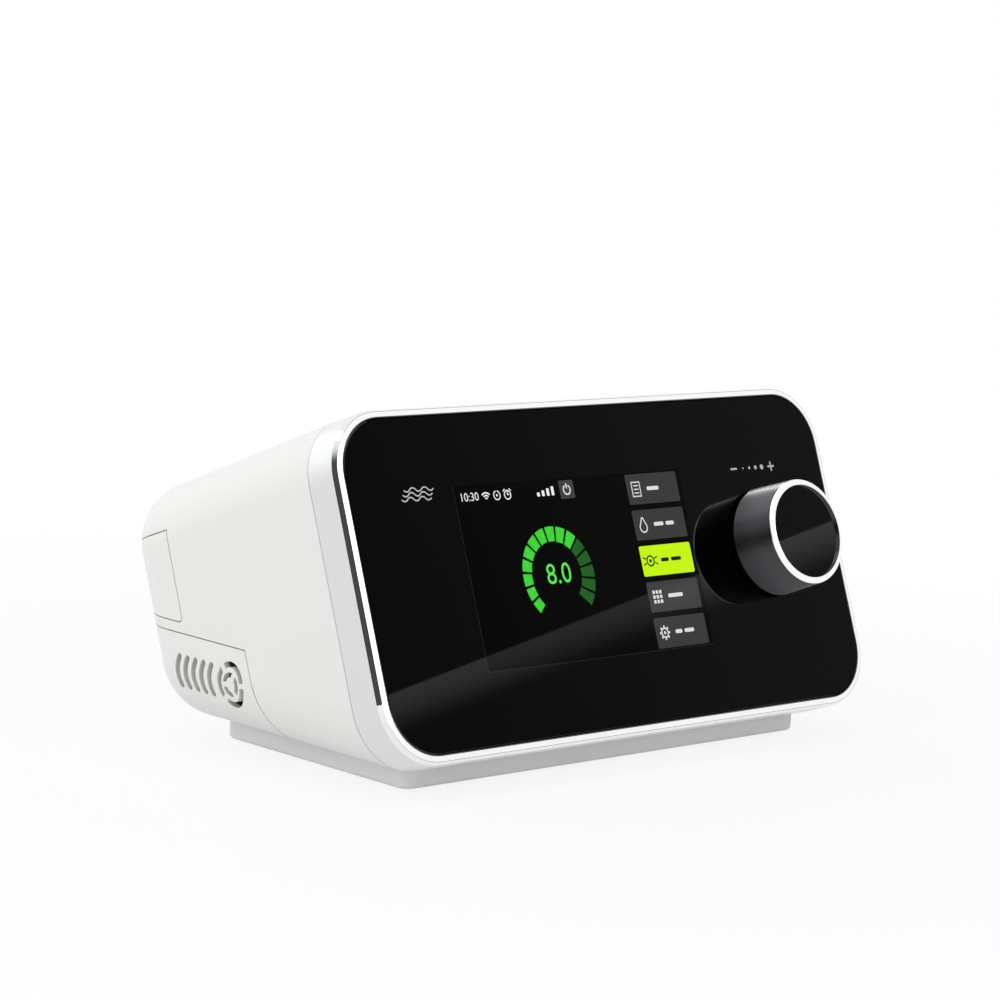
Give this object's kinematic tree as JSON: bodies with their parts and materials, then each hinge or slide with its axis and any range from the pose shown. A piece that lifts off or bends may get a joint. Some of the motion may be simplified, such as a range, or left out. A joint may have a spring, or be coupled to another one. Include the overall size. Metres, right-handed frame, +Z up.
{
  "type": "cpap machine",
  "caption": "Bedside breathing-therapy air machine with a leaning glass front, a round control knob, a louvred side filter cover and a rear hose port",
  "frame": {"origin": "centre of the bounding box's base, on the surface the machine stands on", "axes": "+X to the right as the user faces the glass, +Y to the rear where the hose port points, +Z up"},
  "size_m": [0.2054, 0.1411, 0.1055],
  "materials": {
    "housing_white": "satin",
    "foot_grey": "satin",
    "satin_silver": "satin",
    "bright_trim": "polished",
    "black_glass": "gloss",
    "knob_dark": "satin metallic",
    "display_panel": "gloss",
    "board_green": "satin",
    "inner_black": "matte",
    "soft_rubber": "matte",
    "filter_media": "open-cell foam",
    "steel": "satin",
    "inner_plastic": "satin",
    "port_plastic": "satin",
    "card_blue": "satin"
  },
  "bodies": {
    "housing": {"main_shell": "housing_white", "base_tray": "foot_grey", "foot_front": "foot_grey", "bezel_ring": "satin_silver", "lip_trim": "bright_trim", "front_glass": "black_glass", "display_module": "display_panel", "control_board": "board_green", "power_board": "board_green", "front_carrier": "inner_black", "port_bay": "inner_black", "encoder_body": "inner_black", "board_parts": "inner_black", "power_jack": "inner_black", "flow_sensor": "inner_black", "speaker": "inner_black", "rubber_feet": "soft_rubber", "display_gasket": "soft_rubber", "soft_mount": "soft_rubber", "outlet_seal": "soft_rubber", "muffler_foam": "filter_media", "base_screws": "steel", "board_screws": "steel", "lid_screws": "steel", "encoder_nut": "steel", "bearings": "steel", "motor_can": "steel", "card_socket": "steel", "data_socket": "steel", "air_box": "inner_plastic", "air_box_lid": "inner_plastic", "blower_lower": "inner_plastic", "blower_upper": "inner_plastic", "outlet_port": "port_plastic"},
    "encoder_rotor": {"encoder_rotor": "inner_black"},
    "knob": {"knob_skirt": "knob_dark", "knob_rim": "bright_trim", "knob_cap": "black_glass", "encoder_shaft": "steel"},
    "filter_cover": {"filter_cover": "housing_white", "filter_frame": "inner_black", "air_filter": "filter_media"},
    "port_cover": {"port_cover": "housing_white"},
    "memory_card": {"memory_card": "card_blue"},
    "fan": {"impeller": "inner_plastic", "motor_shaft": "steel"}
  },
  "joints": [
    {"name": "knob_turn", "type": "hinge", "parent": "housing", "child": "encoder_rotor", "pos_m": [0.0685, -0.04951, 0.06068], "axis": [0, -0.933, 0.36], "continuous": true},
    {"name": "knob_press", "type": "slide", "parent": "encoder_rotor", "child": "knob", "axis": [0, 0.933, -0.36], "range_m": [0, 0.0006], "stiffness_N_per_m": 6000, "springref_m": -0.0002},
    {"name": "filter_cover_pull", "type": "slide", "parent": "housing", "child": "filter_cover", "axis": [-1, 0, 0], "range_m": [0, 0.045]},
    {"name": "port_cover_pull", "type": "slide", "parent": "housing", "child": "port_cover", "axis": [-1, 0, 0], "range_m": [0, 0.05]},
    {"name": "card_press", "type": "slide", "parent": "housing", "child": "memory_card", "axis": [1, 0, 0], "range_m": [0, 0.001], "stiffness_N_per_m": 800, "springref_m": -0.0002},
    {"name": "impeller_spin", "type": "hinge", "parent": "housing", "child": "fan", "pos_m": [0.028, -0.0047, 0.045], "axis": [0, 0, 1], "continuous": true}
  ]
}
